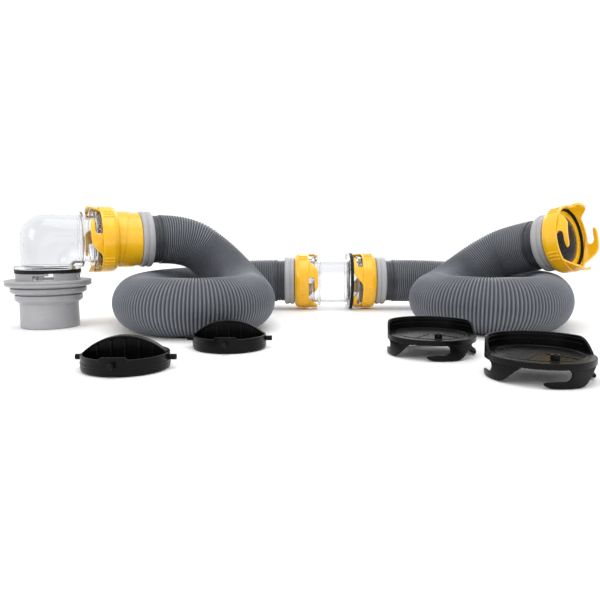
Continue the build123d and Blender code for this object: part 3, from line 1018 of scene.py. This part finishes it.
@dataclass
class HoseEnd:
    """Cuff, collar and bayonet ring of one hose end.

    Attributes:
        name: what the CAD nodes of this end are called after.
        axis: frame of the hose's end.
        body: CAD body that the ring rides on.
        barrel: length of the barrel behind the ring, or 0.
        ring_radius: radius of the ring.
        hub_radius: radius inside the hooks.
    """

    name: str
    axis: Axis
    body: str
    barrel: float = 0.0
    ring_radius: float = 54.0
    hub_radius: float = 50.6

    def cuff(self) -> Shell:
        """Sleeve with a rim, two grooves and low steps; each corner has its own rounding."""
        outline = np.array(
            [(0.05, 38.1), (0.05, 41.9), (4.4, 42.0), (5.2, 40.0), (6.4, 39.5), (7.4, 40.5),
             (10.4, 40.5), (11.2, 39.4), (12.4, 39.4), (13.2, 40.5), (18.8, 40.4), (18.8, 38.1)]
        )
        return Shell().add(turned(self.axis, rounded(outline, 0.5)))

    def collar(self) -> Shell:
        """Collar of two bulging bands with a groove between them."""
        outline = np.array(
            [(19.2, 38.1), (19.2, 43.0), (20.6, 46.2), (23.2, 47.25), (27.4, 46.9), (29.0, 45.2),
             (30.4, 45.2), (31.6, 46.9), (35.8, 47.25), (38.4, 46.2), (39.5, 43.4), (39.5, 38.1)]
        )
        return Shell().add(turned(self.axis, rounded(outline, 1.6)))

    def ring(self) -> Shell:
        """Ring with a rounded shoulder, hooks, thumb ribs, and on a barrel two slanting cams."""
        base = self.axis.shifted(39.7 + 0.3 + self.barrel)
        r, hub = self.ring_radius, self.hub_radius
        mouth = [(3.4, 52.0), (9.0, r), (27.2, r), (27.2, hub), (22.0, hub), (22.0, 49.9), (18.0, 49.9),
                 (18.0, 38.1), (14.5, 38.1), (14.5, 45.0), (3.0, 45.0)]
        if self.barrel:
            back = [(3.0, 41.5), (3.0 - self.barrel, 41.5), (3.0 - self.barrel, 38.3),
                    (-self.barrel, 38.3), (-self.barrel, 45.0), (-0.6, 45.0), (0.2, 47.6)]
        else:
            back = [(3.0, 38.3), (0.0, 38.3), (0.0, 46.8)]
        shell = Shell().add(turned(base, rounded(np.array(mouth + back), 0.9)))
        rim = base.shifted(27.0)
        for grid in Claw().grids(rim, hub, r):
            shell.add(grid, loop=False, lids=True)
        span = np.linspace(0.0, 1.0, 14)
        for quarter in QUARTERS:
            for place in (22.5, 29.0, 35.5):
                middle = quarter + place
                height = 7.5 + 16.5 * span
                half = 1.35 * np.sqrt(np.maximum(1 - (2 * span - 1) ** 6, 0.02))
                low, high = np.stack([middle - half, height], 1), np.stack([middle + half, height], 1)
                shell.add(bar(base, low, high, r - 2.2, r + 1.2, 0.9), loop=False, lids=True)
        if self.barrel:
            for start in (-70.0, 110.0):
                share = np.linspace(0.0, 1.0, 60)
                lines = slab(start + 158.0 * share, -6.0 - 22.0 * share**1.6, 2.5)
                shell.add(bar(base, *lines, 43.6, 46.6, 1.2), loop=False, lids=True)
        return shell

    def seal(self) -> Shell:
        """Narrow seal in the outer corner of its seat, with a rounded lip."""
        base = self.axis.shifted(40.0 + self.barrel)
        outline = np.array([(18.05, 46.2), (18.05, 49.7), (21.9, 49.7), (21.9, 48.0), (19.6, 46.2)])
        return Shell().add(turned(base, rounded(outline, 0.7)))

    def build(self, shop: Workshop) -> None:
        """Makes the four pieces and dresses the spigot."""
        shop.piece(f"cuff_band_{self.name}", self.cuff(), CUFF_RUBBER, "hose_set", f"cuff_{self.name}")
        shop.piece(f"clamp_{self.name}", self.collar(), COLLAR_GREY, "hose_set", f"collar_{self.name}")
        ring = f"claw_ring_{self.name}"
        shop.piece(ring, self.ring(), RING_YELLOW, self.body, f"bayonet_ring_{self.name}")
        # The spigot wears painted shade of the bore.
        shop.dress(SPIGOT_BORE_SHADE, f"spigot_{self.name}")
        shop.piece(f"seal_lip_{self.name}", self.seal(), SEAL_RUBBER, self.body, f"ring_seal_{self.name}")


# ---------------------------------------------------------------- clear fittings
HUB_FOOT = 22.4
LUG_HEIGHT = 32.65
LUG_REST = -6.0
LUG_REACH = (48.5, 54.6)
LUG_RADIUS = 4.0


def stub(axis: Axis, start: float, end: float, radius: float, edge: float = 0.6) -> np.ndarray:
    """Round pin along an axis: its outline turned, both ends closed at their middles.

    Args:
        axis: the pin's own axis.
        start: where it begins.
        end: where it ends.
        radius: its radius.
        edge: rounding of its ends.

    Returns:
        Its grid.
    """
    outline = np.array([(start, 0.0), (start, radius), (end, radius), (end, 0.0)])
    return turned(axis, rounded(outline, np.array([0.0, edge, edge, 0.0])), 24)


def lugs(
    axis: Axis, height: float, start: float, reach: tuple[float, float], radius: float
) -> list[np.ndarray]:
    """Four round lugs that point away from an axis, a quarter turn apart.

    Args:
        axis: what they stand round.
        height: their height on it.
        start: angle of the first, in degrees.
        reach: distances from the axis where they begin and end.
        radius: their radius.

    Returns:
        One grid per lug.
    """
    return [stub(axis.spoke(start + quarter, height), *reach, radius) for quarter in QUARTERS]


def hub(bore: float, outer: float) -> list[tuple[float, float]]:
    """Outline of a lug hub, from its bore outwards, by height above its fitting's ring."""
    return [
        (HUB_FOOT, bore), (HUB_FOOT, outer), (34.9, outer), (34.9, 46.5),
        (HUB_FOOT, 46.5), (HUB_FOOT, 49.9), (38.3, 49.9), (38.3, outer),
    ]


def slab(along: np.ndarray, low: Any, high: Any) -> tuple[np.ndarray, np.ndarray]:
    """The two lines of a bar that runs along a sheet from a low to a high height."""
    lines = [np.broadcast_to(height, along.shape) for height in (low, high)]
    return np.stack([along, lines[0]], 1), np.stack([along, lines[1]], 1)


@dataclass
class ClearElbow:
    """Clear elbow: hub with lugs, band, turn, floor flange and nozzle, as one turned wall."""

    ring: Axis
    bore: float = 36.0
    outer: float = 39.0
    level: float = 64.0
    radius: float = 42.0

    def squared(self, grid: np.ndarray) -> np.ndarray:
        """Grid whose turn has a fuller back.

        In the plane of the turn, a point at angle f and distance d from the turn's middle moves
        out to the outline of a square corner d from the middle with rounding q. With
        c = (d - q)(cos f + sin f), that is at c + sqrt(c^2 - 2 (d - q)^2 + q^2), and at most at
        d / cos f or d / sin f. The rounding is d at the throat and falls to 0.46 d at the back.

        Args:
            grid: (n, m, 3) points round the turn.

        Returns:
            The points moved.
        """
        middle = self.ring.origin + self.level * self.ring.z - np.array((0.0, 0.0, self.radius))
        up = (grid - middle)[..., 2]
        out = (grid - middle) @ self.ring.z
        f, d = np.arctan2(out, up), np.hypot(out, up)
        share = np.clip((d - 15.0) / 60.0, 0.0, 1.0)
        q = d * (1.0 - 0.54 * share * share * (3.0 - 2.0 * share))
        c = (d - q) * (np.cos(f) + np.sin(f))
        corner = c + np.sqrt(np.maximum(c * c - 2.0 * (d - q) ** 2 + q * q, 0.0))
        flat = d / np.maximum(np.maximum(np.cos(f), np.sin(f)), 0.5)
        low = np.arctan2(d - q, d)
        onto_flat = (f < low) | (f > math.pi / 2 - low)
        reach = np.where(onto_flat, flat, corner)
        scale = np.where((f > 0) & (f < math.pi / 2) & (out > 0) & (up > 0), reach / d, 1.0)[..., None]
        in_plane = out[..., None] * self.ring.z + up[..., None] * np.array((0.0, 0.0, 1.0))
        return grid + in_plane * (scale - 1.0)

    def build(self, shop: Workshop) -> None:
        """Makes the elbow and dresses its gasket."""
        foot = self.level + self.radius * math.pi / 2
        b, o = self.bore, self.outer
        outline = np.array(
            hub(b, o)
            + [(53.0, o), (53.0, 45.0), (56.0, 45.0), (56.0, o), (foot, o), (foot, 50.0)]
            + [(foot + 5.0, 50.0), (foot + 5.0, 44.6), (foot + 21.0, 44.6), (foot + 21.0, 41.2)]
            + [(foot + 5.0, 41.2), (foot + 5.0, b)]
        )
        bend = Bend(self.ring.origin, self.ring.z, self.level, self.radius)
        shell = Shell().add(self.squared(turned(bend, dense(rounded(outline, 0.7), 2.0), 128)))
        for grid in lugs(self.ring, LUG_HEIGHT, LUG_REST, LUG_REACH, LUG_RADIUS):
            shell.add(grid, loop=False)
        centre = bend.at(np.array([foot]))[0][0]
        for grid in lugs(Axis.upright(centre[0], centre[1]), 79.4, 0.0, (43.0, 48.4), 3.0):
            shell.add(grid, loop=False)
        shop.piece("elbow_clear", shell, ClearPlastic(), "elbow", "elbow_body")
        shop.dress(SEAL_RUBBER, "elbow_gasket")


@dataclass
class ClearCoupler:
    """Clear coupler: a hub with lugs at each end, two flanges, and a plain tube between."""

    front: Axis
    rear: Axis
    bore: float = 40.5
    outer: float = 43.5

    def build(self, shop: Workshop) -> None:
        """Makes the coupler and dresses its gasket."""
        span = float(np.linalg.norm(self.rear.origin - self.front.origin))
        b, o = self.bore, self.outer
        rear_hub = [(span - along, radius) for along, radius in hub(b, o)]
        outline = np.array(
            hub(b, o)
            + [(45.5, o), (45.5, 50.0), (50.9, 50.0), (50.9, o)]
            + [(span - 56.9, o), (span - 56.9, 55.5), (span - 51.5, 55.5), (span - 51.5, o)]
            + rear_hub[::-1]
        )
        shell = Shell().add(turned(self.front, rounded(outline, 0.7), 128))
        for axis in (self.front, self.rear):
            for grid in lugs(axis, LUG_HEIGHT, LUG_REST, LUG_REACH, LUG_RADIUS):
                shell.add(grid, loop=False)
        shop.piece("coupler_clear", shell, ClearPlastic(), "coupler", "coupler_body")
        shop.dress(SEAL_RUBBER, "coupler_gasket")


# ---------------------------------------------------------------- adapter
@dataclass
class SteppedAdapter:
    """Grey adapter: slip spigot, two sleeves that narrow below, a grooved rim and a slotted neck."""

    x: float
    y: float
    flutes: int = 32

    def build(self, shop: Workshop) -> None:
        """Makes the adapter: one turned body, then posts and bridges for the slotted neck."""
        axis = Axis.upright(self.x, self.y)
        outline = np.array(
            [(0.0, 40.9), (0.0, 43.6), (1.0, 44.45), (36.4, 44.45), (37.0, 44.0), (38.4, 44.0), (39.2, 45.2),
             (42.8, 49.6), (44.2, 50.8), (51.6, 50.8), (52.0, 47.4), (53.9, 47.2), (54.2, 53.2),
             (56.0, 56.2), (57.0, 57.15), (62.6, 57.15), (63.0, 53.4), (64.9, 53.2), (65.2, 61.4),
             (66.6, 64.2), (67.4, 65.0), (69.8, 65.0), (70.2, 63.6), (71.2, 63.6), (71.6, 65.0),
             (75.0, 64.9), (75.0, 48.4), (76.0, 48.4), (76.0, 45.1), (75.3, 45.1), (75.3, 40.9)]
        )
        shell = Shell().add(turned(axis, rounded(outline, 0.8), 128))
        for quarter in QUARTERS:
            for start, end, base in ((32.4, 85.6, 75.2), (84.0, 113.6, 82.9)):
                lines = slab(quarter + np.linspace(start, end, 24), base, 85.9)
                shell.add(bar(axis, *lines, 45.1, 48.4, 0.5), loop=False, lids=True)
        for start in np.linspace(0.0, 360.0, self.flutes, endpoint=False):
            lines = slab(np.linspace(start, start + 3.4, 6), 72.6, 74.5)
            shell.add(bar(axis, *lines, 63.0, 64.95, 0.3), loop=False, lids=True)
        shop.piece("adapter_stepped", shell, ADAPTER_GREY, "adapter", "adapter_body")


# ---------------------------------------------------------------- storage caps
@dataclass
class LugCap:
    """Dished cap with four lugs, a rim tab at the front and an arched grip on a ribbed web."""

    name: str
    node: str
    body: str
    x: float
    y: float
    radius: float = 47.0
    arch: float = 65.7

    def build(self, shop: Workshop) -> None:
        """Makes the cap: dish, lugs, tab, the grip's lip and its web with ribs."""
        axis = Axis.upright(self.x, self.y)
        r = self.radius
        dish = np.array(
            [(0.0, 0.0), (0.0, r - 1.6), (1.6, r), (17.4, r), (17.4, r - 2.7), (4.0, r - 2.7),
             (2.5, r - 4.5), (2.5, 0.0)]
        )
        roundings = np.array([0.0, 0.8, 0.8, 1.0, 0.8, 1.0, 1.0, 0.0])
        shell = Shell().add(turned(axis, rounded(dish, roundings), 128), loop=False)
        for start, end, grow in ((8.0, 10.0, 0.5), (4.6, 6.0, 0.3)):
            bead = np.array([(start, r - 0.4), (start, r + grow), (end, r + grow), (end, r - 0.4)])
            shell.add(turned(axis, rounded(bead, 0.35), 128))
        for grid in lugs(axis, 12.0, 0.0, (r - 1.5, 54.9), 3.2):
            shell.add(grid, loop=False)
        a = np.linspace(-110.0, -70.0, 30)
        rise = 17.0 + 3.3 * np.clip(np.minimum(a + 110.0, -70.0 - a) / 5.0, 0.0, 1.0)
        shell.add(bar(axis, *slab(a, 14.0, rise), r - 2.6, r, 0.8), loop=False, lids=True)
        self.grip(shell, axis)
        shop.piece(self.name, shell, CAP_BLACK, self.body, self.node)

    def grip(self, shell: Shell, axis: Axis) -> None:
        """Adds the grip: an arc of radius R in the XZ plane, and below it the web up to
        z = c + sqrt(R^2 - x^2), with c the arc's middle.

        Args:
            shell: the cap's shell.
            axis: the cap's frame.
        """
        middle = 36.0 - self.arch
        lip = Axis(axis.origin + middle * axis.z, axis.z, axis.y)
        a = np.linspace(-43.6, 43.6, 48)
        half = 4.2 + 1.7 * np.cos(np.radians(a * 1.9))
        lines = slab(a, -half, half)
        shell.add(bar(lip, *lines, self.arch - 2.4, self.arch - 0.05, 0.9), loop=False, lids=True)
        x = np.linspace(-44.9, 44.9, 60)
        top = middle + np.sqrt(self.arch**2 - x**2) - 1.3
        shell.add(bar(axis, *slab(x, 1.4, top), -1.5, 1.5, 0.3, Wrap.FLAT), loop=False, lids=True)
        for place in (-30.0, -15.0, 0.0, 15.0, 30.0):
            height = np.linspace(2.0, middle + math.sqrt(self.arch**2 - place**2) - 1.6, 8)
            low, high = (np.stack([np.full(8, place + side), height], 1) for side in (-0.9, 0.9))
            shell.add(bar(axis, low, high, -3.4, 3.4, 0.5, Wrap.FLAT), loop=False, lids=True)


@dataclass
class BayonetCap:
    """Cap with four hooks below its disc, a fence round its back and an eyelet at the front."""

    name: str
    node: str
    seal: str
    body: str
    x: float
    y: float
    inner: float = 50.6
    outer: float = 53.2

    def build(self, shop: Workshop) -> None:
        """Makes the cap: disc and skirt, hooks, tapering fence, ribs and eyelet."""
        axis = Axis.upright(self.x, self.y)
        hanging = Axis(axis.origin + 18.0 * axis.z, axis.x, -axis.z)
        i, o = self.inner, self.outer
        disc = np.array(
            [(24.0, 0.0), (24.0, 41.6), (24.7, 42.2), (24.7, 43.8), (24.0, 44.4), (24.0, o), (17.6, o),
             (17.6, i), (21.4, i), (21.4, 0.0)]
        )
        roundings = np.array([0.0, 0.3, 0.3, 0.3, 0.3, 1.0, 0.8, 0.8, 0.4, 0.0])
        shell = Shell().add(turned(axis, rounded(disc, roundings), 128), loop=False)
        for grid in Claw().grids(hanging, i, o):
            shell.add(grid, loop=False, lids=True)
        a = np.linspace(-4.9, 184.9, 120)
        rise = np.clip(np.minimum(a + 4.9, 184.9 - a) / 26.0, 0.0, 1.0)
        top = 25.0 + 13.9 * (rise * rise * (3 - 2 * rise)) ** 0.6
        shell.add(bar(axis, *slab(a, 23.0, top), i, o, 0.8), loop=False, lids=True)
        arc = np.linspace(12.0, 168.0, 90)
        for height in (30.0, 35.0):
            lines = slab(arc, height, height + 1.2)
            shell.add(bar(axis, *lines, i - 0.8, i + 0.8, 0.35), loop=False, lids=True)
        for turn in (-38.0, 38.0):
            spoke = Axis(axis.origin, axis.spoke(turn - 90.0, 0.0).z, axis.z)
            lines = slab(np.linspace(8.0, 41.0, 12), 23.6, 24.7)
            shell.add(bar(spoke, *lines, -0.8, 0.8, 0.3, Wrap.FLAT), loop=False, lids=True)
        eyelet = np.array([(23.6, 2.3), (23.6, 4.5), (30.0, 4.5), (30.0, 2.3)])
        front = Axis.upright(self.x, self.y - 36.6)
        shell.add(turned(front, rounded(eyelet, 0.8), 40))
        shop.piece(self.name, shell, CAP_BLACK, self.body, self.node)
        shop.dress(SEAL_RUBBER, self.seal)


# ---------------------------------------------------------------- studio
@dataclass(frozen=True)
class Softbox:
    """One square lamp."""

    name: str
    place: tuple[float, float, float]
    size: float
    power: float

    def build(self) -> None:
        lamp = bpy.data.lights.new(self.name, "AREA")
        lamp.size, lamp.energy = self.size, self.power
        made = bpy.data.objects.new(self.name, lamp)
        made.location = self.place
        toward = Vector((0.0, 0.0, 0.06)) - made.location
        made.rotation_euler = toward.to_track_quat("-Z", "Y").to_euler()
        bpy.context.scene.collection.objects.link(made)


@dataclass
class Studio:
    """White floor and sky, softboxes, and the camera.

    Attributes:
        lens: focal length, in millimetres on a 36 mm sensor.
        eye: where the camera stands.
        pitch: how far it looks down, in degrees.
    """

    lens: float = 34.44
    eye: tuple[float, float, float] = (-0.010, -0.870, 0.138)
    pitch: float = 5.97
    softboxes: tuple[Softbox, ...] = (
        Softbox("softbox_top", (0.0, -0.2, 1.9), 1.6, 14.0),
        Softbox("softbox_left", (-1.7, -1.3, 1.1), 1.0, 9.0),
        Softbox("softbox_right", (1.6, -1.5, 1.3), 0.9, 5.0),
        Softbox("softbox_back", (0.3, 1.9, 1.2), 1.2, 7.0),
    )

    def floor(self) -> None:
        """Lays a wide floor with a pale, faintly mottled finish."""
        half = 30.0
        flat = bpy.data.meshes.new("floor")
        flat.from_pydata(
            [(-half, -half, -0.0005), (half, -half, -0.0005), (half, half, -0.0005), (-half, half, -0.0005)],
            [], [(0, 1, 2, 3)],
        )
        made = bpy.data.objects.new("floor", flat)
        g = Graph("floor_white")
        tone = g.blend(g.noise(3.0), (0.95, 0.95, 0.95), (0.97, 0.97, 0.97))
        flat.materials.append(
            g.close(g.node("ShaderNodeBsdfPrincipled", None, {"Base Color": tone, "Roughness": 0.65}))
        )
        bpy.context.scene.collection.objects.link(made)
        made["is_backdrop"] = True

    def build(self) -> None:
        """Sets up floor, sky, lamps and camera."""
        self.floor()
        sky = bpy.data.worlds.new("sky")
        sky.use_nodes = True
        back = sky.node_tree.nodes["Background"]
        back.inputs["Color"].default_value = (1.0, 1.0, 1.0, 1.0)
        back.inputs["Strength"].default_value = 1.04
        bpy.context.scene.world = sky
        for softbox in self.softboxes:
            softbox.build()
        lens = bpy.data.cameras.new("camera")
        lens.lens, lens.sensor_width = self.lens, 36.0
        lens.clip_start, lens.clip_end = 0.01, 200.0
        made = bpy.data.objects.new("camera", lens)
        made.location = self.eye
        made.rotation_euler = (math.radians(90.0 - self.pitch), 0.0, 0.0)
        bpy.context.scene.collection.objects.link(made)
        bpy.context.scene.camera = made
        bpy.context.scene.view_settings.view_transform = "Standard"
        log.info("studio: %d softboxes", len(self.softboxes))


def corners() -> list[list[float]]:
    """The shown object's lowest and highest corner, as plain lists."""
    return [list(corner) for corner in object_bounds()]


def main() -> None:
    logging.basicConfig(level=logging.INFO, format="%(name)s: %(message)s")
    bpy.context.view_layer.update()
    shop = Workshop()
    elbow_end = HoseEnd("elbow", end_axis(LEFT_ROUTE, True, 20.0), "elbow_ring", 37.0)
    centre_left = HoseEnd("centre_left", end_axis(LEFT_ROUTE, False, 0.0), "centre_left_ring")
    centre_right = HoseEnd("centre_right", end_axis(RIGHT_ROUTE, True, 45.0), "centre_right_ring")
    open_end = HoseEnd("open", end_axis(RIGHT_ROUTE, False, 0.0), "open_ring")
    for end in (elbow_end, centre_left, centre_right, open_end):
        end.build(shop)
    CorrugatedHose("hose_skin_left", "hose_left", LEFT_ROUTE, 0.947, ("elbow", "centre_left")).build(shop)
    CorrugatedHose("hose_skin_right", "hose_right", RIGHT_ROUTE, 0.977, ("centre_right", "open")).build(shop)
    ClearElbow(elbow_end.axis.shifted(77.0)).build(shop)
    ClearCoupler(centre_left.axis.shifted(40.0), centre_right.axis.shifted(40.0)).build(shop)
    low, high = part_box("adapter_body")
    SteppedAdapter((low.x + high.x) / 2 / MM, (low.y + high.y) / 2 / MM).build(shop)
    LugCap("cap_lugged_left", "lug_cap_1", "lug_cap_left", -199.0, -256.0).build(shop)
    LugCap("cap_lugged_right", "lug_cap_2", "lug_cap_right", -101.0, -136.0).build(shop)
    for number, side, x, y in ((1, "left", 151.0, -174.0), (2, "right", 233.0, -296.0)):
        seal = f"bayonet_cap_seal_{number}"
        cap = BayonetCap(f"cap_clawed_{side}", f"bayonet_cap_{number}", seal, f"bayonet_cap_{side}", x, y)
        cap.build(shop)
    Studio().build()


if __name__ == "__main__":
    main()
